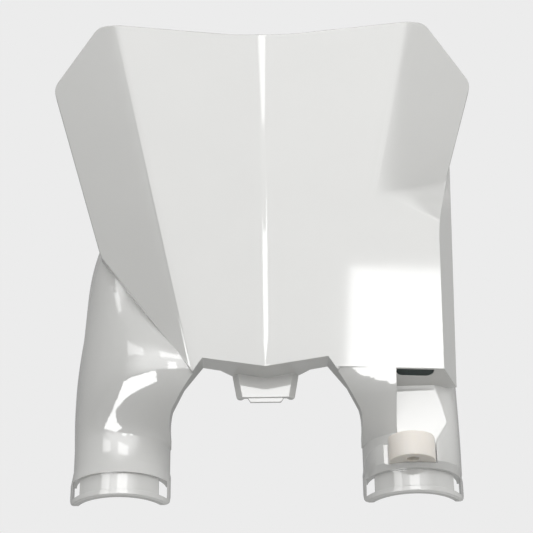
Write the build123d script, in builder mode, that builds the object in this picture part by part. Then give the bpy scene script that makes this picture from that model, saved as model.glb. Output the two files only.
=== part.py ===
"""Front number board of an off-road motorcycle, with two fork sleeves and a hose guide.

Millimetres. +Z runs up along the fork tubes, +X to the right as seen from the
front, and the front faces -Y. The origin lies midway between the two fork axes,
level with the lower rims of the sleeves.
"""
import os
from math import radians, tan

from build123d import *

# Fork tubes and the wall of the moulding
fork_spacing = 195.0
fork_tube_radius = 29.9
fork_clearance = 0.1
wall = 2.5

# Face: one upright centre ridge, two centre facets, two swept side facets
face_lean = 14.0
ridge_depth = 61.0
centre_sweep = 5.0
side_sweep = 22.0
fold_half_width_low = 48.0
fold_half_width_high = 102.0
ridge_round = 40.0
fold_round = 16.0
leg_crease_round = 30.0
lip_depth = 7.0

# Outline of the face, as half widths and heights
top_centre_height = 301.5
top_centre_round = 180.0
top_corner_half_width = 113.5
top_corner_height = 318.5
tip_half_width = 146.5
tip_height = 283.5
corner_round = 9.0
waist_half_width = 111.0
waist_height = 161.5

# Arch between the legs, its flange and the centre tab
arch_shoulder_half_width = 41.5
arch_shoulder_height = 85.5
arch_centre_height = 78.0
arch_foot_half_width = 48.0
leg_bend_half_width = 64.5
leg_bend_height = 55.0
leg_bend_round = 14.0
arch_flange_back = 42.0
edge_round = 1.0

# Tab under the middle of the arch, with splayed sides, which hooks behind the bracket
tab_half_width_high = 19.1
tab_half_width_low = 15.4
tab_bottom_height = 64.3
tab_front = 41.2
tab_back = 36.0
tab_side_reach = 3.7
tab_corner_round = 2.5
tab_root_half_width = 30.0
tongue_half_width_high = 12.0
tongue_half_width_low = 10.1
tongue_drop = 3.1
tongue_thickness = 1.5

# Sleeves
sleeve_flare = 1.6
sleeve_straight_height = 42.0
sleeve_back = -2.0
collar_foot_back = -13.0
collar_foot_height = 9.0
collar_ring_height = 4.3
collar_bead_round = 1.2
arch_flange_foot = 69.0
arch_back_bend = (-30.0, 58.5)
arch_back_foot = 49.0
shoulder_back_top = (-38.0, 190.0)
shoulder_back_bend = (-24.0, 115.0)
shoulder_back_foot = 70.0
strap_width = 11.8
strap_groove_depth = 2.0

# Stations of a shoulder: height, then how far its outer side moves in and its
# inner side moves out from the sleeve, then its depth
shoulder_knee = (54.0, -0.5, 20.0, 39.0)
left_arch_station = (78.0, -0.5, 62.0, 56.0)
left_middle_station = (119.0, 1.2, 24.0, 54.0)
left_upper_station = (161.0, 6.0, -11.0, 55.0)
left_top_station = (190.0, 15.0, -29.0, 48.0)
right_arch_station = (78.0, -0.5, 62.0, 60.0)
right_hood_station = (100.0, 1.0, 68.0, 72.0)

# Hose hood on the +X side
hood_half_width = 118.5
hood_floor_height = 79.0
hood_side_flare = 26.0
hood_floor_draft = 12.0
hood_depth_low = 20.5
hood_depth_high = 22.5
hood_shoulder_height = 176.0
hood_fade_height = 196.0
hood_peak_half_width = 129.5
hood_peak_height = 213.0
hood_round = 60.0
hood_room_left = 37.5
slot_from_corner = 0.6
slot_from_front = 1.3
slot_width = 25.0
slot_depth = 7.6
slot_round = 5.0
grommet_recess = 0.4
grommet_flange = 1.5

# Hose channel under the hood
channel_left = 86.5
channel_right = 121.0
channel_floor = 33.0
channel_rim_depth = 35.0
channel_bend_height = 50.0
leg_low_height = 38.0
leg_middle_height = 60.0
leg_top_height = 96.0
leg_bulge = 0.9
leg_inner_step = 0.3

# Pocket housing at the channel's foot, and the hose bush in it
housing_depth = 38.5
housing_foot_height = 20.0
housing_left_low = (67.5, -15.0, 29.0)
housing_left_high = (79.5, -38.0, 34.0)
pocket_left = 77.0
pocket_right = 111.5
pocket_floor_height = 18.9
bush_radius = 15.3
bush_height = 16.5
bush_axis_depth = 36.8
bush_centre = 95.3
bush_bore_radius = 4.0
bush_bore_depth = 43.0
bush_clearance = 0.1

arch_slope = (arch_shoulder_height - leg_bend_height) / (leg_bend_half_width - arch_shoulder_half_width)
arch_foot_height = arch_shoulder_height - arch_slope * (arch_foot_half_width - arch_shoulder_half_width)
fork_half_spacing = fork_spacing / 2
sleeve_bore = fork_tube_radius + fork_clearance
sleeve_radius = sleeve_bore + wall
round_fullness = 0.5523
housing_fullness = 0.7
leg_fullness = 0.76
bore_relief = 0.3
collar_taper = 10.0
channel_bend_round = 12.0
trim_half_width = 80.0
cheek_width = 2.8
strap_slot_width = 5.3
open_back = 14.0
collar_radius = sleeve_radius + sleeve_flare
collar_height = collar_ring_height + strap_width
far = 200.0


def ridge_y(height):
    """Front of the centre ridge at a height."""
    return -ridge_depth - tan(radians(face_lean)) * (height - arch_centre_height)


def centre_y(half_width, height):
    """Front of a centre facet."""
    return ridge_y(height) + half_width * tan(radians(centre_sweep))


def fold_half_width(height):
    """Half width of the two centre facets at a height."""
    share = (height - arch_foot_height) / (top_corner_height - arch_foot_height)
    return fold_half_width_low + share * (fold_half_width_high - fold_half_width_low)


def fold_point(hand, height):
    half_width = fold_half_width(height)
    return (hand * half_width, centre_y(half_width, height), height)


def plane_through(a, b, c, outward):
    """Plane through three points, its normal turned towards the outside."""
    a, b, c = Vector(*a), Vector(*b), Vector(*c)
    normal = (b - a).cross(c - a).normalized()
    if normal.dot(Vector(*outward)) < 0:
        normal = normal * -1
    return Plane(origin=a, z_dir=normal)


def centre_plane(hand):
    ridge_low = (0, ridge_y(arch_foot_height), arch_foot_height)
    ridge_high = (0, ridge_y(top_corner_height), top_corner_height)
    return plane_through(ridge_low, ridge_high, fold_point(hand, arch_foot_height), (0, -1, 0))


def side_plane(hand):
    low, high = fold_point(hand, arch_foot_height), fold_point(hand, top_corner_height)
    swept = (low[0] + hand, low[1] + tan(radians(side_sweep)), low[2])
    return plane_through(low, high, swept, (0, -1, 0))


def behind_face(inset):
    """Everything behind the four facets, with the ridge and the folds rounded."""
    with BuildPart() as block:
        with BuildSketch(Plane.XZ.offset(-open_back - wall)):
            with Locations((0, far + housing_foot_height)):
                Rectangle(2 * far, 2 * far)
        extrude(amount=far)
        for hand in (-1, 1):
            split(bisect_by=centre_plane(hand).offset(-inset), keep=Keep.BOTTOM)
            split(bisect_by=side_plane(hand).offset(-inset), keep=Keep.BOTTOM)
        upright = block.edges().filter_by(lambda edge: abs(edge.tangent_at(0.5).Z) > 0.8)
        front = upright.filter_by(lambda edge: abs(edge.center().X) < fold_half_width_high)
        front = front.filter_by(lambda edge: edge.center().Y < -ridge_depth)
        ridge = front.filter_by(lambda edge: abs(edge.center().X) < wall)
        fillet(ridge, ridge_round - inset)
        fillet(front - ridge, fold_round - inset)
    return block.part


def rounded(sketch, half_width, height, radius):
    """Round the outline's corners at this half width and height, on both sides."""
    found = sketch.vertices().filter_by(
        lambda v: abs(abs(v.X) - half_width) < 0.5 and abs(v.Y - height) < 0.5
    )
    fillet(found, radius)


def face_outline(inset):
    """The face seen from the front, moved inwards by an inset, run far to the front."""
    half = [
        (top_corner_half_width, top_corner_height),
        (tip_half_width, tip_height),
        (waist_half_width, waist_height),
        (arch_foot_half_width, arch_foot_height),
        (arch_shoulder_half_width, arch_shoulder_height),
    ]
    left = [(-x, z) for x, z in reversed(half)]
    with BuildPart() as prism:
        with BuildSketch(Plane.XZ.offset(-open_back)) as sketch:
            with BuildLine():
                Polyline((0, top_centre_height), *half, (0, arch_centre_height), *left, close=True)
            make_face()
            rounded(sketch, 0, top_centre_height, top_centre_round)
            rounded(sketch, top_corner_half_width, top_corner_height, corner_round)
            rounded(sketch, tip_half_width, tip_height, corner_round)
            rounded(sketch, waist_half_width, waist_height, corner_round)
            if inset:
                offset(amount=-inset)
        extrude(amount=far)
    return prism.part


def front_rim(solid):
    """Edges where the front facets meet the sides."""
    front = solid.faces().filter_by(lambda face: face.normal_at().Y < -0.7)
    edges = [edge for face in front for edge in face.edges()]
    middles = [edge.center() for edge in edges]
    alone = [sum((m - other).length < 0.01 for other in middles) == 1 for m in middles]
    return [edge for edge, single in zip(edges, alone) if single]


def face_slab():
    """The face and its turned-back edge, still solid."""
    with BuildPart() as slab:
        add(face_outline(0))
        add(behind_face(0), mode=Mode.INTERSECT)
        fillet(front_rim(slab.part), edge_round)
        add(behind_face(lip_depth), mode=Mode.SUBTRACT)
    return slab.part


def face_hollow():
    with BuildPart() as hollow:
        add(face_outline(wall))
        add(behind_face(wall), mode=Mode.INTERSECT)
    return hollow.part


def arch_space(growth):
    """The open arch between the legs, grown into the plastic by an amount."""
    with BuildPart() as space:
        with BuildSketch(Plane.XZ.offset(-far / 2)) as sketch:
            with BuildLine():
                half = [
                    (leg_bend_half_width, -far),
                    (leg_bend_half_width, leg_bend_height),
                    (arch_shoulder_half_width, arch_shoulder_height),
                ]
                left = [(-x, z) for x, z in reversed(half)]
                Polyline(*half, (0, arch_centre_height), *left, close=True)
            make_face()
            rounded(sketch, leg_bend_half_width, leg_bend_height, leg_bend_round)
            if growth:
                offset(amount=growth)
        extrude(amount=far * 1.5)
    return space.part


def arch_flange():
    """Band over the arch, from the face back."""
    rise = arch_shoulder_height - arch_centre_height
    with BuildPart() as band:
        with BuildSketch(Plane.XZ.offset(arch_flange_back)):
            with Locations((0, arch_shoulder_height)):
                Rectangle(2 * arch_foot_half_width, 2 * rise + 3 * wall)
        extrude(amount=far)
        for hand in (-1, 1):
            split(bisect_by=centre_plane(hand), keep=Keep.BOTTOM)
    return band.part


def tab_block(inset):
    """The tab up to its splayed sides as a solid, or the room behind its panel."""
    low_reach = tab_half_width_low + tab_side_reach
    high_reach = tab_half_width_high + tab_side_reach
    with BuildPart() as block:
        with BuildSketch(Plane.XZ.offset(tab_back)) as sketch:
            with BuildLine():
                Polyline(
                    (-low_reach, tab_bottom_height),
                    (low_reach, tab_bottom_height),
                    (high_reach, arch_shoulder_height),
                    (-high_reach, arch_shoulder_height),
                    close=True,
                )
            make_face()
            rounded(sketch, low_reach, tab_bottom_height, tab_corner_round)
        extrude(amount=tab_front - tab_back - inset)
        for hand in (-1, 1):
            low = (hand * tab_half_width_low, -tab_front, tab_bottom_height)
            high = (hand * tab_half_width_high, -tab_front, arch_shoulder_height)
            back = (hand * low_reach, -tab_back, tab_bottom_height)
            side = plane_through(low, high, back, (hand, -1, 0))
            split(bisect_by=side.offset(-inset), keep=Keep.BOTTOM)
    return block.part


def centre_tab():
    """Panel with splayed sides and a small tongue, and the web that joins it to the arch."""
    with BuildPart() as tab:
        add(tab_block(0))
        add(tab_block(wall), mode=Mode.SUBTRACT)
        with BuildSketch(Plane.XZ.offset(tab_front - wall)):
            with BuildLine():
                Polyline(
                    (-tongue_half_width_low, tab_bottom_height - tongue_drop),
                    (tongue_half_width_low, tab_bottom_height - tongue_drop),
                    (tongue_half_width_high, tab_bottom_height),
                    (tongue_half_width_high, tab_bottom_height + wall),
                    (-tongue_half_width_high, tab_bottom_height + wall),
                    (-tongue_half_width_high, tab_bottom_height),
                    close=True,
                )
            make_face()
        extrude(amount=tongue_thickness)
        add(arch_space(wall), mode=Mode.INTERSECT)
    with BuildPart() as web:
        with BuildSketch(Plane.XY.offset(tab_bottom_height)):
            with BuildLine():
                Polyline(
                    (-tab_root_half_width, -arch_flange_back - wall),
                    (tab_root_half_width, -arch_flange_back - wall),
                    (tab_root_half_width, -arch_flange_back),
                    (tab_half_width_high + tab_side_reach, -tab_back),
                    (-tab_half_width_high - tab_side_reach, -tab_back),
                    (-tab_root_half_width, -arch_flange_back),
                    close=True,
                )
            make_face()
        extrude(amount=far)
        add(arch_space(wall), mode=Mode.INTERSECT)
        add(arch_space(0), mode=Mode.SUBTRACT)
    return tab.part + web.part


def horseshoe(centre, half_width, depth, height, fullness=round_fullness):
    """A sleeve's section: a bowed front between two straight sides, open far behind."""
    left, right = centre - half_width, centre + half_width
    back = open_back + wall
    with BuildSketch(Plane.XY.offset(height)) as section:
        with BuildLine():
            for side, reach in ((left, -half_width), (right, half_width)):
                Bezier(
                    (side, 0),
                    (side, -depth * fullness),
                    (centre + reach * fullness, -depth),
                    (centre, -depth),
                )
            Polyline((right, 0), (right, back), (left, back), (left, 0))
        make_face()
    return section.sketch


def lofted(sections, inset, hand):
    """Loft through sections given as (height, outer, inner, depth, fullness)."""
    with BuildPart() as solid:
        for height, outer, inner, depth, fullness in sections:
            centre = hand * (outer + inner) / 2
            half_width = (outer - inner) / 2 - inset
            add(horseshoe(centre, half_width, depth - inset, height, fullness))
        loft()
    return solid.part


def round_section(height, radius):
    """Section that follows the fork tube."""
    return height, fork_half_spacing + radius, fork_half_spacing - radius, radius, round_fullness


def fork_tube(hand):
    """Room for the fork tube, exactly round."""
    with BuildPart() as tube:
        with BuildSketch(Plane.XY.offset(-wall)):
            with Locations((hand * fork_half_spacing, 0)):
                Circle(sleeve_bore)
            with Locations((hand * fork_half_spacing, open_back)):
                Rectangle(2 * sleeve_bore, 2 * open_back)
        extrude(amount=sleeve_straight_height + wall)
    return tube.part


def station_section(height, outer_in, inner_out, depth):
    """Section of a shoulder, from one of its stations."""
    outer = fork_half_spacing + sleeve_radius - outer_in
    inner = fork_half_spacing - sleeve_radius - inner_out
    return height, outer, inner, depth, round_fullness


def shoulder_sections(hand, start_radius):
    """Where the sleeve swells forward and inward to meet the face."""
    start = round_section(sleeve_straight_height, start_radius)
    if hand > 0:
        stations = (shoulder_knee, right_arch_station, right_hood_station)
    else:
        stations = (
            shoulder_knee,
            left_arch_station,
            left_middle_station,
            left_upper_station,
            left_top_station,
        )
    return [start] + [station_section(*station) for station in stations]


def left_of_channel(shoulder, inset):
    """Trim the +X shoulder to the channel's side and to the plane of the face, with a soft crease."""
    face = centre_plane(1).offset(-inset)
    with BuildPart() as trimmed:
        add(shoulder)
        split(bisect_by=face, keep=Keep.BOTTOM)
        crease = edges_on(trimmed, face).sort_by(lambda edge: edge.center().Z)[0]
        fillet(crease, leg_crease_round - inset)
        split(bisect_by=Plane.YZ.offset(channel_left - inset), keep=Keep.BOTTOM)
    return trimmed.part


def shoulder(hand, start_radius, inset):
    swelling = lofted(shoulder_sections(hand, start_radius), inset, hand)
    return left_of_channel(swelling, inset) if hand > 0 else swelling


def sleeve_outside(hand):
    """Collar, its taper and the sleeve above it as one solid without the fork room."""
    taper_top = collar_height + collar_taper
    bead = [round_section(0, collar_radius - collar_bead_round), round_section(collar_bead_round, collar_radius)]
    foot = [bead[1], round_section(collar_height, collar_radius)]
    taper = [foot[1], round_section(taper_top, sleeve_radius)]
    straight = [taper[1], round_section(sleeve_straight_height, sleeve_radius)]
    with BuildPart() as solid:
        for sections in (bead, foot, taper, straight):
            add(lofted(sections, 0, hand))
        add(shoulder(hand, sleeve_radius, 0))
    return solid.part


def sleeve_inside(hand):
    with BuildPart() as space:
        add(fork_tube(hand))
        add(shoulder(hand, sleeve_radius + bore_relief, wall))
    return space.part


def channel_leg_outside():
    """The squarer front of the +X sleeve, from the pocket housing up behind the hood."""
    outer = fork_half_spacing + sleeve_radius + leg_bulge
    inner = fork_half_spacing - sleeve_radius + leg_inner_step
    sections = [
        (housing_foot_height, outer, inner, housing_depth, housing_fullness),
        (leg_low_height, outer, inner, housing_depth, leg_fullness),
        (leg_middle_height, outer, inner, channel_rim_depth + leg_bulge, leg_fullness),
        (leg_top_height, outer - leg_bulge / 2, inner, channel_rim_depth, leg_fullness),
    ]
    with BuildPart() as leg:
        add(lofted([round_section(collar_height - wall, sleeve_radius), sections[0]], 0, 1))
        add(lofted(sections, 0, 1))
    with BuildPart() as hump:
        add(lofted(sections, -wall, 1))
        split(bisect_by=Plane.YZ.offset(channel_left), keep=Keep.BOTTOM)
        toward_face = (0, housing_left_high[1], housing_left_high[2] + 0.5 * wall)
        cut = plane_through(housing_left_low, housing_left_high, toward_face, (0, 0, 1))
        split(bisect_by=cut, keep=Keep.TOP)
    return leg.part - hump.part


def channel_leg_inside():
    outer = fork_half_spacing + sleeve_bore + bore_relief
    inner = fork_half_spacing - sleeve_bore - bore_relief
    front = channel_floor - wall
    sections = [
        round_section(sleeve_straight_height, sleeve_bore + bore_relief),
        (leg_middle_height, outer, inner, front, leg_fullness),
        (leg_top_height, outer, inner, front, leg_fullness),
    ]
    return lofted(sections, 0, 1)


def hood_corner(half_width, height):
    """Point on the front of the hood, which runs on from the centre facet."""
    return (half_width, centre_y(half_width, height), height)


def hood_floor():
    """Underside of the hood, as a plane whose x runs along its front edge."""
    front_left = Vector(*hood_corner(channel_left, hood_floor_height))
    front_right = Vector(*hood_corner(hood_half_width, hood_floor_height))
    along = (front_right - front_left).normalized()
    back = Vector(0, 1, -tan(radians(hood_floor_draft)))
    return Plane(origin=front_left, x_dir=along, z_dir=back.cross(along).normalized())


def hood_planes():
    """Outer planes of the hood: its floor, its flared side and the slope that fades into the face."""
    front_low = hood_corner(hood_half_width, hood_floor_height)
    front_high = hood_corner(hood_half_width, hood_shoulder_height)
    flare = tan(radians(hood_side_flare))
    side_back = (front_low[0] + flare, front_low[1] + 1, front_low[2])
    side = plane_through(front_low, front_high, side_back, (1, 0, 0))

    fold_half = fold_half_width(hood_peak_height)
    peak_y = centre_y(fold_half, hood_peak_height)
    peak_y += (hood_peak_half_width - fold_half) * tan(radians(side_sweep))
    peak = (hood_peak_half_width, peak_y, hood_peak_height)
    fade = plane_through(fold_point(1, hood_fade_height), front_high, peak, (0, -1, 0))
    return side, hood_floor(), fade


def hood_back():
    low = hood_corner(hood_half_width, hood_floor_height)
    high = hood_corner(hood_half_width, hood_shoulder_height)
    low = (low[0], low[1] + hood_depth_low, low[2])
    high = (high[0], high[1] + hood_depth_high, high[2])
    return plane_through(low, high, (low[0] + 1, *low[1:]), (0, 1, 0))


def hood_block(inset, inner_side):
    """The hood as a solid, or the room inside it."""
    with BuildPart() as block:
        with BuildSketch(Plane.XZ.offset(-open_back)):
            with Locations(((inner_side + far) / 2, waist_height)):
                Rectangle(far - inner_side, far)
        extrude(amount=far)
        for plane in (centre_plane(1), *hood_planes()):
            split(bisect_by=plane.offset(-inset), keep=Keep.BOTTOM)
        fade = hood_planes()[2].offset(-inset)
        fillet(edges_on(block, fade, centre_plane(1).offset(-inset)), hood_round - inset)
        if not inset:
            split(bisect_by=hood_back(), keep=Keep.BOTTOM)
    return block.part


def hood_room():
    """Room inside the hood, which leaves the leg's outer wall standing behind it."""
    with BuildPart() as wall_kept:
        add(hood_block(wall, hood_room_left))
        split(bisect_by=hood_back(), keep=Keep.TOP)
        split(bisect_by=Plane.YZ.offset(channel_right - wall), keep=Keep.TOP)
    return hood_block(wall, hood_room_left) - wall_kept.part


def edges_on(solid, *planes):
    """Edges whose middle lies on every one of the planes."""
    return solid.edges().filter_by(
        lambda edge: all(abs((edge.center() - plane.origin).dot(plane.z_dir)) < 0.01 for plane in planes)
    )


def outlet(shrink, depth):
    """Hose outlet in the hood's floor, sunk to a depth from the underside."""
    width = slot_width - 2 * shrink
    reach = slot_depth - 2 * shrink
    centre_x = slot_from_corner + slot_width / 2
    centre_y_local = -slot_from_front - slot_depth / 2
    with BuildPart() as plug:
        with BuildSketch(hood_floor()) as sketch:
            with Locations((centre_x, centre_y_local)):
                Rectangle(width, reach)
            fillet(sketch.vertices().group_by(Axis.Y)[0], slot_round)
        extrude(amount=-depth)
    return plug.part


def channel_cut():
    """Hose channel and pocket, cut back to one flat floor."""
    with BuildPart() as cut:
        with BuildSketch(Plane.XZ.offset(channel_floor)) as sketch:
            with BuildLine():
                Polyline(
                    (pocket_left, pocket_floor_height),
                    (pocket_right, pocket_floor_height),
                    (pocket_right, housing_left_high[2]),
                    (channel_right, channel_bend_height),
                    (channel_right, hood_floor_height + wall),
                    (channel_left, hood_floor_height + wall),
                    (channel_left, housing_left_high[2] + wall),
                    (pocket_left, housing_left_high[2] + wall),
                    close=True,
                )
            make_face()
            rounded(sketch, pocket_right, housing_left_high[2], channel_bend_round)
            rounded(sketch, channel_right, channel_bend_height, channel_bend_round)
        extrude(amount=far)
        split(bisect_by=hood_floor(), keep=Keep.TOP)
    return cut.part


def strap_cut(hand):
    """Groove round the collar, and the slot at each of its ends."""
    bottom = collar_ring_height
    axis = hand * fork_half_spacing
    cheek_inside = collar_radius - cheek_width
    slot_centre = cheek_inside - strap_slot_width / 2
    with BuildPart() as cut:
        with BuildSketch(Plane.XY.offset(bottom)):
            with Locations((axis, 0)):
                Circle(2 * collar_radius)
                Circle(collar_radius - strap_groove_depth, mode=Mode.SUBTRACT)
            with Locations((axis, -far / 2)):
                Rectangle(2 * cheek_inside, far, mode=Mode.INTERSECT)
        extrude(amount=strap_width)
        with BuildSketch(Plane.XY.offset(bottom)):
            for side in (-1, 1):
                with Locations((axis + side * slot_centre, 0)):
                    Rectangle(strap_slot_width, far)
        extrude(amount=strap_width)
    return cut.part


def back_trim(left, right, profile):
    """Everything behind a side-view profile, across a span of X."""
    with BuildPart() as trim:
        with BuildSketch(Plane.YZ.offset(left)):
            with BuildLine():
                Polyline(*profile, (far, -far), (far, 2 * far), close=True)
            make_face()
        extrude(amount=right - left)
    return trim.part


collar_profile = [
    (sleeve_back, collar_foot_height),
    (collar_foot_back, 0),
    (collar_foot_back, -far),
]
inner_profile = [
    (-arch_flange_back, 2 * far),
    (-arch_flange_back, arch_flange_foot),
    arch_back_bend,
    (sleeve_back, arch_back_foot),
    *collar_profile,
]
left_profile = [
    (shoulder_back_top[0], 2 * far),
    shoulder_back_top,
    shoulder_back_bend,
    (sleeve_back, shoulder_back_foot),
    *collar_profile,
]
right_profile = [
    (sleeve_back, 2 * far),
    *collar_profile,
]

with BuildPart() as outside:
    add(face_slab())
    add(arch_flange())
    add(hood_block(0, arch_shoulder_half_width))
    for hand in (-1, 1):
        add(sleeve_outside(hand))
    add(channel_leg_outside())
    add(arch_space(0), mode=Mode.SUBTRACT)
    add(channel_cut(), mode=Mode.SUBTRACT)

with BuildPart() as inside:
    add(hood_room())
    for hand in (-1, 1):
        add(sleeve_inside(hand))
    add(channel_leg_inside())
    add(arch_space(wall), mode=Mode.SUBTRACT)
    add(face_hollow())

with BuildPart() as number_board:
    add(outside.part)
    add(inside.part, mode=Mode.SUBTRACT)
    for hand in (-1, 1):
        add(strap_cut(hand), mode=Mode.SUBTRACT)
    add(outlet(0, 2 * wall), mode=Mode.SUBTRACT)
    add(back_trim(-trim_half_width, trim_half_width, inner_profile), mode=Mode.SUBTRACT)
    add(back_trim(-far, -trim_half_width, left_profile), mode=Mode.SUBTRACT)
    add(back_trim(trim_half_width, far, right_profile), mode=Mode.SUBTRACT)
    add(centre_tab())

with BuildPart() as hose_bush:
    with BuildSketch(Plane.XY.offset(pocket_floor_height + bush_clearance)):
        with Locations((bush_centre, -bush_axis_depth)):
            Circle(bush_radius)
        with Locations((bush_centre, -channel_floor - bush_clearance - far / 2)):
            Rectangle(far, far, mode=Mode.INTERSECT)
        with Locations((bush_centre, -bush_bore_depth)):
            Circle(bush_bore_radius, mode=Mode.SUBTRACT)
    extrude(amount=bush_height)

with BuildPart() as hose_grommet:
    add(outlet(bush_clearance, wall + bush_clearance + grommet_flange))
    add(outlet(0, grommet_recess), mode=Mode.SUBTRACT)

number_board.part.label = "number_board"
hose_bush.part.label = "hose_bush"
hose_grommet.part.label = "hose_grommet"
for made in (number_board, hose_bush, hose_grommet):
    print(made.part.label, made.part.is_valid, len(made.part.solids()), round(made.part.volume))
os.makedirs("parts", exist_ok=True)
export_step(number_board.part, "parts/number_board.step")
export_step(hose_bush.part, "parts/hose_bush.step")
export_step(hose_grommet.part, "parts/hose_grommet.step")
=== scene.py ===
from math import ceil, cos, floor, pi, radians, sin, tan

import bmesh
import bpy
from mathutils import Matrix, Vector
from mathutils.kdtree import KDTree


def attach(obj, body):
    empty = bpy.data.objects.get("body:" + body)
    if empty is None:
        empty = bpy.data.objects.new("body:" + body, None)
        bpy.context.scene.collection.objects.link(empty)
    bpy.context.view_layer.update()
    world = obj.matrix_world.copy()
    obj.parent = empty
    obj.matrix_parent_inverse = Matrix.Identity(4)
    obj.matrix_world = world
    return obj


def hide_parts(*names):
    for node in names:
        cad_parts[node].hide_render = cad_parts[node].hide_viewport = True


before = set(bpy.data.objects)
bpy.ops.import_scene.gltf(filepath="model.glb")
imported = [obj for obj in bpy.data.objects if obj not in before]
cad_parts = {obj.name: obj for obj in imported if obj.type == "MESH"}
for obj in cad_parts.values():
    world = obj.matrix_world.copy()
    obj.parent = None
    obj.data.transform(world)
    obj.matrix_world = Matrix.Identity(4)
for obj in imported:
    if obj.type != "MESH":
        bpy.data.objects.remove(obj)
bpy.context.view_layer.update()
print("frame loaded")

mm = 0.001


def linearColour(hexCode):
    # sRGB hex, as picked from a colour chart, to the linear values that Blender wants
    channels = [int(hexCode[i:i + 2], 16) / 255 for i in (1, 3, 5)]
    linear = [c / 12.92 if c <= 0.04045 else ((c + 0.055) / 1.055) ** 2.4 for c in channels]
    return (*linear, 1.0)


def addNode(tree, kind, settings=None, links=None):
    # settings name the node's own properties or its inputs, by name or number;
    # links map an input to (node, output)
    node = tree.nodes.new(kind)
    for name, value in (settings or {}).items():
        if isinstance(name, int) or name in node.inputs:
            node.inputs[name].default_value = value
        else:
            setattr(node, name, value)
    for name, (source, output) in (links or {}).items():
        tree.links.new(source.outputs[output], node.inputs[name])
    return node


def addNoise(tree, place, wave, detail, roughness=0.5):
    # Noise in the piece's own space, about wave mm from crest to crest
    settings = {"Scale": 1 / (wave * mm), "Detail": detail, "Roughness": roughness}
    return addNode(tree, "ShaderNodeTexNoise", settings, {"Vector": (place, "Object")})


def addBump(tree, pattern, depth, below=None):
    # The pattern as a relief, depth mm high, on top of the relief below it
    links = {"Height": (pattern, "Fac")}
    if below:
        links["Normal"] = (below, "Normal")
    return addNode(tree, "ShaderNodeBump", {"Strength": 1.0, "Distance": depth * mm}, links)


def addRange(tree, source, old, new, shape="LINEAR"):
    # Moves a value from the old range to the new one
    settings = {
        "interpolation_type": shape,
        "From Min": old[0], "From Max": old[1],
        "To Min": new[0], "To Max": new[1],
    }
    return addNode(tree, "ShaderNodeMapRange", settings, {"Value": source})


def newMaterial(name):
    material = bpy.data.materials.new(name)
    material.use_nodes = True
    material.node_tree.nodes.clear()
    return material, material.node_tree


def finishMaterial(tree, shader):
    addNode(tree, "ShaderNodeOutputMaterial", links={"Surface": (shader, 0)})


# Glossy moulded polypropylene

glossyPolypropylene = {
    "colour": "#CFCFCD",
    "slowColour": "#CBCBC9",  # where the plastic flowed slowly
    "roughness": (0.05, 0.08),
    "flowRange": (0.35, 0.65),  # of the flow's noise, from clear to hazy
    "ior": 1.6,
    "polish": 1.0,           # share of the surface under the hard polished skin
    "polishIor": 1.5,
    "edgeRadius": 0.5,       # mm, of the mould's corners
    "edgeSamples": 8,
    "flowWave": 45.0,        # mm between the slow swells that cooling leaves
    "flowHeight": 0.012,     # mm
    "peelWave": 1.6,         # mm between the bumps of the mould's polish
    "peelHeight": 0.00025,   # mm
}


def makeGlossyPolypropylene():
    # Injection moulded against a polished tool: a hard, clear gloss with slow swells
    # from cooling, a very fine peel, and a touch more haze where the plastic flowed slowly
    p = glossyPolypropylene
    material, tree = newMaterial("glossy moulded polypropylene")
    place = addNode(tree, "ShaderNodeTexCoord")
    flow = addNoise(tree, place, p["flowWave"], detail=1.0, roughness=0.4)
    peel = addNoise(tree, place, p["peelWave"], detail=2.0)
    haze = addRange(tree, (flow, "Fac"), p["flowRange"], p["roughness"])
    tint = addNode(
        tree, "ShaderNodeMix",
        {"data_type": "RGBA", 6: linearColour(p["colour"]), 7: linearColour(p["slowColour"])},
        {0: (flow, "Fac")},
    )
    edges = addNode(
        tree, "ShaderNodeBevel", {"samples": p["edgeSamples"], "Radius": p["edgeRadius"] * mm},
    )
    swell = addBump(tree, flow, p["flowHeight"], edges)
    skin = addBump(tree, peel, p["peelHeight"], swell)
    shader = addNode(
        tree, "ShaderNodeBsdfPrincipled",
        {
            "IOR": p["ior"],
            "Coat Weight": p["polish"],
            "Coat IOR": p["polishIor"],
            "Coat Roughness": p["roughness"][0],
        },
        {
            "Base Color": (tint, 2),
            "Roughness": (haze, "Result"),
            "Normal": (skin, "Normal"),
            "Coat Normal": (skin, "Normal"),
        },
    )
    finishMaterial(tree, shader)
    return material


# Natural nylon

naturalNylon = {
    "colour": "#E4DFD8",
    "roughness": (0.38, 0.5),
    "cloudWave": 6.0,        # mm between the waxier and the duller places
    "cloudRange": (0.3, 0.7),  # of the cloud's noise, from waxy to dull
    "ior": 1.53,
    "scatter": 0.35,         # share of light that goes in and comes out again
    "scatterDepth": 3.0,     # mm
    "scatterReach": (1.0, 0.9, 0.75),  # of red, green and blue, as shares of that depth
    "toolMark": 2.2,         # mm between the rings that the lathe tool leaves
    "toolDepth": 0.004,      # mm
    "toolWander": 0.4,       # how unevenly the rings run
}

waveTurns = 20 / (2 * pi)    # bands that a wave texture draws in its own unit of length


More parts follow.
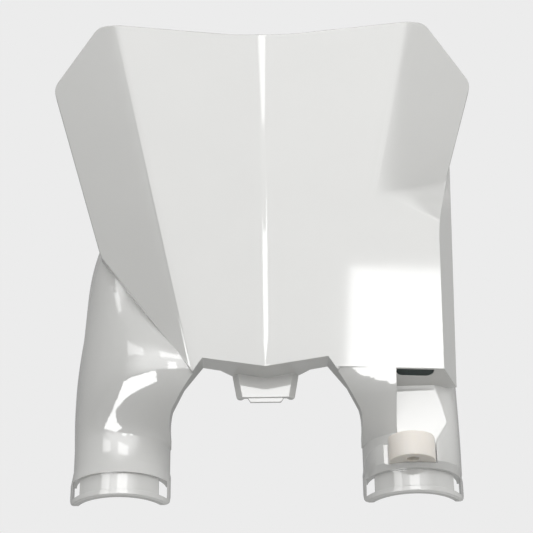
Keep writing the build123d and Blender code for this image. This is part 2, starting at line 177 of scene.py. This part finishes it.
def makeNaturalNylon():
    # Turned from undyed bar: milky, waxy and slightly see-through, with faint tool rings
    p = naturalNylon
    material, tree = newMaterial("natural nylon")
    place = addNode(tree, "ShaderNodeTexCoord")
    rings = addNode(
        tree, "ShaderNodeTexWave",
        {
            "wave_type": "BANDS",
            "bands_direction": "Z",
            "Scale": 1 / (waveTurns * p["toolMark"] * mm),
            "Distortion": p["toolWander"],
        },
        {"Vector": (place, "Object")},
    )
    cloud = addNoise(tree, place, p["cloudWave"], detail=3.0)
    wax = addRange(tree, (cloud, "Fac"), p["cloudRange"], p["roughness"])
    marks = addBump(tree, rings, p["toolDepth"])
    shader = addNode(
        tree, "ShaderNodeBsdfPrincipled",
        {
            "Base Color": linearColour(p["colour"]),
            "IOR": p["ior"],
            "Subsurface Weight": p["scatter"],
            "Subsurface Radius": p["scatterReach"],
            "Subsurface Scale": p["scatterDepth"] * mm,
        },
        {"Roughness": (wax, "Result"), "Normal": (marks, "Normal")},
    )
    finishMaterial(tree, shader)
    return material


# Moulded nitrile rubber

nitrileRubber = {
    "colour": "#12201E",
    "bloomColour": "#24423D",
    "bloomRange": (0.45, 0.8),  # of the grain's noise, from bare to bloomed
    "roughness": 0.55,
    "ior": 1.52,
    "grain": 0.8,            # mm between the specks of bloom
    "grainHeight": 0.02,     # mm
}


def makeNitrileRubber():
    # Soft moulded rubber: near black with a faint green bloom and a fine matt grain
    p = nitrileRubber
    material, tree = newMaterial("moulded nitrile rubber")
    place = addNode(tree, "ShaderNodeTexCoord")
    grain = addNoise(tree, place, p["grain"], detail=4.0)
    bloom = addNode(tree, "ShaderNodeValToRGB", links={"Fac": (grain, "Fac")})
    colours = (p["colour"], p["bloomColour"])
    for element, position, colour in zip(bloom.color_ramp.elements, p["bloomRange"], colours):
        element.position = position
        element.color = linearColour(colour)
    bump = addBump(tree, grain, p["grainHeight"])
    shader = addNode(
        tree, "ShaderNodeBsdfPrincipled",
        {"Roughness": p["roughness"], "IOR": p["ior"]},
        {"Base Color": (bloom, "Color"), "Normal": (bump, "Normal")},
    )
    finishMaterial(tree, shader)
    return material


# Pieces: each is a merged copy of its node, shaded so that flat faces stay flat.
# smoothAngle is in degrees, of the sharpest edge that is shaded as a curve, and
# edgeRound is in mm.

boardPiece = {
    "node": "number_board",
    "slot": "board",
    "smoothAngle": 28,
    "edgeRound": 0.0,
    "softened": True,
}
bushPiece = {
    "node": "hose_bush",
    "slot": "nylon",
    "smoothAngle": 35,
    "edgeRound": 0.5,
    "softened": False,
}
grommetPiece = {
    "node": "hose_grommet",
    "slot": "rubber",
    "smoothAngle": 35,
    "edgeRound": 0.3,
    "softened": False,
}

weldGap = 0.002              # mm between corners that are one corner of the solid
edgeSegments = 3             # flat steps across a rounded edge
flatAngle = radians(0.3)     # between the faces of one flat region
flatShare = 4.0              # a region this many times the next gives a corner its normal

# The folds between the face and its sides turn softly, the right one more so at its foot
softFolds = {
    "panelArea": 2500.0,     # mm2, the least area of a flat panel
    "cell": 5.0,             # mm between the corners added on the panels
    "cellGap": 0.01,         # mm, how near a corner may be to a cut and be taken as on it
    "reach": 10.0,           # mm that a fold's shade turns over, to either side
    "foot": (104.0, 190.0),  # mm, where the right fold fades out: x and height
    "footSize": 90.0,        # mm round that place where the reach grows
    "footReach": 38.0,       # mm, the reach there
    "ridgeKept": 25.0,       # mm either side of the middle ridge that keep their own shade
    "sameSide": radians(45),  # a panel turned further than this from a corner is left out
    "mostTurn": radians(14),  # a corner whose normal would turn further keeps its own
}


def flatRegionAreas(build):
    # For each face, the area of the flat region that it belongs to
    areas = {}
    for seed in build.faces:
        if seed in areas:
            continue
        region, waiting = {seed}, [seed]
        while waiting:
            for edge in waiting.pop().edges:
                for face in edge.link_faces:
                    flat = face.normal.angle(seed.normal, pi) < flatAngle
                    if flat and face not in region and face not in areas:
                        region.add(face)
                        waiting.append(face)
        area = sum(face.calc_area() for face in region)
        for face in region:
            areas[face] = area
    return areas


def smoothFans(vert, smoothAngle):
    # The faces round a corner, grouped where no sharp edge parts them
    left = set(vert.link_faces)
    while left:
        fan = {left.pop()}
        waiting = list(fan)
        while waiting:
            for edge in waiting.pop().edges:
                if vert in edge.verts and edge.calc_face_angle(pi) < smoothAngle:
                    near = left & set(edge.link_faces)
                    left -= near
                    fan |= near
                    waiting += near
        yield fan


def fanNormal(vert, fan, areas):
    # A corner next to a large flat region takes that region's normal, any other an average
    ranked = sorted(fan, key=lambda face: -areas[face])
    rivals = [face for face in ranked if face.normal.angle(ranked[0].normal, pi) > flatAngle]
    if not rivals or areas[ranked[0]] > flatShare * areas[rivals[0]]:
        return ranked[0].normal.copy()
    total = Vector()
    for loop in vert.link_loops:
        if loop.face in fan:
            total += loop.face.normal * loop.calc_angle()
    return total.normalized()


def panelFaces(build, areas):
    return [face for face in build.faces if areas[face] > softFolds["panelArea"] * mm ** 2]


def cutPanels(build):
    # Adds corners every few millimetres on the large flat panels, which stay flat
    faces = panelFaces(build, flatRegionAreas(build))
    edges = list(dict.fromkeys(edge for face in faces for edge in face.edges))
    verts = list(dict.fromkeys(vert for face in faces for vert in face.verts))
    panels = faces + edges + verts
    cell = softFolds["cell"] * mm
    for axis in (Vector((1, 0, 0)), Vector((0, 0, 1))):
        places = [vert.co.dot(axis) for vert in verts]
        first, last = ceil(min(places) / cell), floor(max(places) / cell)
        for step in range(first, last + 1):
            cut = bmesh.ops.bisect_plane(
                build, geom=panels, dist=softFolds["cellGap"] * mm,
                plane_co=axis * (step * cell), plane_no=axis,
            )
            panels = cut["geom"]
    build.normal_update()
    build.faces.index_update()
    build.verts.index_update()


def foldReach(place):
    # How far a fold's shade turns at this place: further where the right fold fades out
    foot = Vector(softFolds["foot"]) * mm
    away = (Vector((place.x, place.z)) - foot).length / (softFolds["footSize"] * mm)
    grow = max(0.0, 1 - away)
    return (softFolds["reach"] + (softFolds["footReach"] - softFolds["reach"]) * grow) * mm


def panelTree(build, areas):
    # The middles, sizes and normals of the cells of the large flat panels
    cells = panelFaces(build, areas)
    tree = KDTree(len(cells))
    for index, face in enumerate(cells):
        tree.insert(face.calc_center_median(), index)
    tree.balance()
    return tree, [(face.calc_area(), face.normal.copy()) for face in cells]


def foldNormal(place, own, panels):
    # The panels' normals near a corner, averaged so that the shade turns softly over a fold
    tree, cells = panels
    reach = foldReach(place)
    total = Vector()
    for _, index, away in tree.find_range(place, reach):
        area, normal = cells[index]
        if normal.angle(own) < softFolds["sameSide"]:
            total += normal * area * (1 - (away / reach) ** 2) ** 2
    if not total.length or total.angle(own) > softFolds["mostTurn"]:
        return own
    return total.normalized()


def cornerNormals(build, smoothAngle, softened):
    areas = flatRegionAreas(build)
    panels = panelTree(build, areas) if softened else None
    normals = {}
    for vert in build.verts:
        nearFold = softened and abs(vert.co.x) > softFolds["ridgeKept"] * mm
        for fan in smoothFans(vert, smoothAngle):
            normal = fanNormal(vert, fan, areas)
            if nearFold:
                normal = foldNormal(vert.co, normal, panels)
            for face in fan:
                normals[face.index, vert.index] = normal
    return normals


def shadeTrue(mesh, smoothAngle, softened):
    build = bmesh.new()
    build.from_mesh(mesh)
    if softened:
        cutPanels(build)
        build.to_mesh(mesh)
    normals = cornerNormals(build, smoothAngle, softened)
    build.free()
    mesh.shade_smooth()
    corners = [(face.index, vert) for face in mesh.polygons for vert in face.vertices]
    mesh.normals_split_custom_set([normals[corner] for corner in corners])


def weldedCopy(node, name):
    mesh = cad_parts[node].data.copy()
    mesh.name = name
    build = bmesh.new()
    build.from_mesh(mesh)
    bmesh.ops.remove_doubles(build, verts=build.verts, dist=weldGap * mm)
    build.to_mesh(mesh)
    build.free()
    return mesh


def roundEdges(obj, width, smoothAngle):
    bevel = obj.modifiers.new("edge round", "BEVEL")
    bevel.width = width
    bevel.segments = edgeSegments
    bevel.limit_method = "ANGLE"
    bevel.angle_limit = smoothAngle
    bpy.context.view_layer.objects.active = obj
    bpy.ops.object.modifier_apply(modifier=bevel.name)


def makePiece(name, piece, material):
    mesh = weldedCopy(piece["node"], name)
    mesh.materials.clear()
    mesh.materials.append(material)
    obj = bpy.data.objects.new(name, mesh)
    bpy.context.scene.collection.objects.link(obj)
    smoothAngle = radians(piece["smoothAngle"])
    if piece["edgeRound"]:
        roundEdges(obj, piece["edgeRound"] * mm, smoothAngle)
    shadeTrue(obj.data, smoothAngle, piece["softened"])
    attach(obj, "root")
    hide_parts(piece["node"])


makePiece("numberBoard", boardPiece, makeGlossyPolypropylene())
print("number board made")
makePiece("hoseBush", bushPiece, makeNaturalNylon())
makePiece("hoseGrommet", grommetPiece, makeNitrileRubber())
print("hose bush and grommet made")


# Studio: a pale floor well below, soft light round the front, and the camera looking up.
# Lengths are in metres and angles in degrees.

studio = {
    "background": "#ECECEC",
    "skyTop": 0.4,
    "skyBottom": 0.06,
    "skyEnds": (-0.7, 0.7),  # rise of the direction in which the sky is darkest and lightest
    "frontGlow": 2.35,       # the wide soft light from the front, at its middle
    "frontWidth": 2.0,       # times its height
    "frontHeight": 0.28,     # rise of the direction to its middle, times frontWidth
    "frontEnds": (0.4, 0.92),  # how far from its middle it starts to fade and is gone
    "floorBounce": "#B8B8B6",  # the floor as it lights the piece from below
    "floorPaleness": 0.75,   # share of the background's own colour that the camera sees
    "floorRoughness": 0.9,
    "floorHeight": -0.62,
    "floorSize": 12.0,
    "boxAway": 1.3,          # from the middle of the boxes' sphere to each box
    "boxCentre": 0.15,       # height of that middle
}

# Each box stands on a sphere round a point of the board's middle plane: degrees to the
# right, degrees up, degrees wide, degrees high and how bright its face is. A box on a
# sphere of its own has its distance and the height of that sphere's middle after those.
# The soft boxes light the piece and don't show in the gloss.
softBoxes = {
    "left upper": (-35, 25, 24, 18, 0.2),
    "right upper": (56, 28, 34, 13, 2.2),
    "left wall": (-78, -6, 50, 46, 0.2),
    "right wall": (84, -2, 50, 46, 1.0),
    "above": (-10, 55, 80, 30, 1.8),
    "behind": (180, 35, 70, 40, 1.6),
}

# The reflected boxes only show in the gloss
reflectedBoxes = {
    "ridge strip": (1.5, -2.5, 9, 16, 3.5),
    "right square": (17.6, -6.3, 6.8, 11.4, 3.5),
    "left low": (-31, -32, 34, 42, 6.0),
    "tab and channel": (4, 21, 22, 9, 2.2, 3.0, 0.06),
    "left sleeve": (-36, 21, 18, 7, 2.0, 3.0, 0.03),
}


def addBox(
    name, turn, lift, width, height, strength,
    away=studio["boxAway"], centreHeight=studio["boxCentre"], *, reflected,
):
    turn, lift = radians(turn), radians(lift)
    centre = Vector((0, 0, centreHeight))
    toward = Vector((sin(turn) * cos(lift), -cos(turn) * cos(lift), sin(lift)))
    lamp = bpy.data.lights.new(name, "AREA")
    lamp.shape = "RECTANGLE"
    lamp.size = 2 * away * tan(radians(width) / 2)
    lamp.size_y = 2 * away * tan(radians(height) / 2)
    lamp.energy = strength * pi * lamp.size * lamp.size_y
    obj = bpy.data.objects.new(name, lamp)
    obj.location = centre + toward * away
    obj.rotation_euler = (-toward).to_track_quat("-Z", "Y").to_euler()
    obj.visible_camera = False
    obj.visible_diffuse = not reflected
    obj.visible_glossy = reflected
    bpy.context.scene.collection.objects.link(obj)


for boxName, boxSettings in softBoxes.items():
    addBox(boxName, *boxSettings, reflected=False)
for boxName, boxSettings in reflectedBoxes.items():
    addBox(boxName, *boxSettings, reflected=True)


def makeSky():
    # A dim sky, lighter upwards, with a wide glow from the front that fades at its ends.
    # The camera, and light that goes through, see the plain background in its place.
    s = studio
    world = bpy.data.worlds.new("studio")
    bpy.context.scene.world = world
    world.use_nodes = True
    tree = world.node_tree
    tree.nodes.clear()
    place = addNode(tree, "ShaderNodeTexCoord")
    direction = addNode(tree, "ShaderNodeSeparateXYZ", links={"Vector": (place, "Generated")})
    sky = addRange(tree, (direction, "Z"), s["skyEnds"], (s["skyBottom"], s["skyTop"]))
    flattened = addNode(
        tree, "ShaderNodeVectorMath",
        {"operation": "MULTIPLY", 1: (1, 1, s["frontWidth"])},
        {0: (place, "Generated")},
    )
    away = addNode(
        tree, "ShaderNodeVectorMath",
        {"operation": "DISTANCE", 1: (0, -1, s["frontHeight"])},
        {0: (flattened, "Vector")},
    )
    glow = addRange(tree, (away, "Value"), s["frontEnds"], (s["frontGlow"], 0.0), "SMOOTHSTEP")
    total = addNode(
        tree, "ShaderNodeMath", {"operation": "ADD"}, {0: (sky, "Result"), 1: (glow, "Result")},
    )
    soft = addNode(
        tree, "ShaderNodeBackground", {"Color": (1, 1, 1, 1)}, {"Strength": (total, "Value")},
    )
    plain = addNode(
        tree, "ShaderNodeBackground", {"Color": linearColour(s["background"]), "Strength": 1.0},
    )
    ray = addNode(tree, "ShaderNodeLightPath")
    seen = addNode(
        tree, "ShaderNodeMath", {"operation": "MAXIMUM"},
        {0: (ray, "Is Camera Ray"), 1: (ray, "Is Transmission Ray")},
    )
    mix = addNode(tree, "ShaderNodeMixShader", links={0: (seen, 0), 1: (soft, 0), 2: (plain, 0)})
    addNode(tree, "ShaderNodeOutputWorld", links={"Surface": (mix, 0)})


def makeFloor():
    # Pale paint that keeps the shadow: near the background's colour to the camera, and
    # darker where it lights the piece from below
    half = studio["floorSize"] / 2
    z = studio["floorHeight"]
    mesh = bpy.data.meshes.new("studioFloor")
    corners = [(x * half, y * half, z) for x, y in ((-1, -1), (1, -1), (1, 1), (-1, 1))]
    mesh.from_pydata(corners, [], [(0, 1, 2, 3)])
    material, tree = newMaterial("pale painted floor")
    background = linearColour(studio["background"])
    ray = addNode(tree, "ShaderNodeLightPath")
    paint = addNode(
        tree, "ShaderNodeBsdfPrincipled",
        {"Base Color": background, "Roughness": studio["floorRoughness"]},
    )
    bounce = addNode(
        tree, "ShaderNodeBsdfDiffuse", {"Color": linearColour(studio["floorBounce"])},
    )
    backdrop = addNode(tree, "ShaderNodeEmission", {"Color": background})
    unseen = addNode(
        tree, "ShaderNodeMixShader",
        links={0: (ray, "Is Diffuse Ray"), 1: (paint, 0), 2: (bounce, 0)},
    )
    seen = addNode(
        tree, "ShaderNodeMixShader",
        {0: studio["floorPaleness"]}, {1: (paint, 0), 2: (backdrop, 0)},
    )
    shader = addNode(
        tree, "ShaderNodeMixShader",
        links={0: (ray, "Is Camera Ray"), 1: (unseen, 0), 2: (seen, 0)},
    )
    finishMaterial(tree, shader)
    mesh.materials.append(material)
    obj = bpy.data.objects.new("studioFloor", mesh)
    bpy.context.scene.collection.objects.link(obj)


makeSky()
makeFloor()

photoCamera = {
    "target": (1.584 * mm, 0.0, 183.02 * mm),
    "distance": 1.152,
    "lookUp": 27.3,
    "roll": 0.7,
    "lens": 108.07,          # mm
    "sensor": 36.0,          # mm
    "clip": (0.05, 50.0),
}


def makeCamera():
    c = photoCamera
    up = radians(c["lookUp"])
    look = Vector((0, cos(up), sin(up)))
    right = Vector((1, 0, 0))
    top = Vector((0, -sin(up), cos(up)))
    turn = Matrix((right, top, -look)).transposed() @ Matrix.Rotation(-radians(c["roll"]), 3, "Z")
    data = bpy.data.cameras.new("photo camera")
    data.lens = c["lens"]
    data.sensor_width = c["sensor"]
    data.clip_start, data.clip_end = c["clip"]
    obj = bpy.data.objects.new("photo camera", data)
    obj.rotation_mode = "QUATERNION"
    obj.location = Vector(c["target"]) - look * c["distance"]
    obj.rotation_quaternion = turn.to_quaternion()
    bpy.context.scene.collection.objects.link(obj)
    bpy.context.scene.camera = obj


makeCamera()
bpy.context.scene.view_settings.view_transform = "Standard"
print("studio made")

bpy.context.view_layer.update()
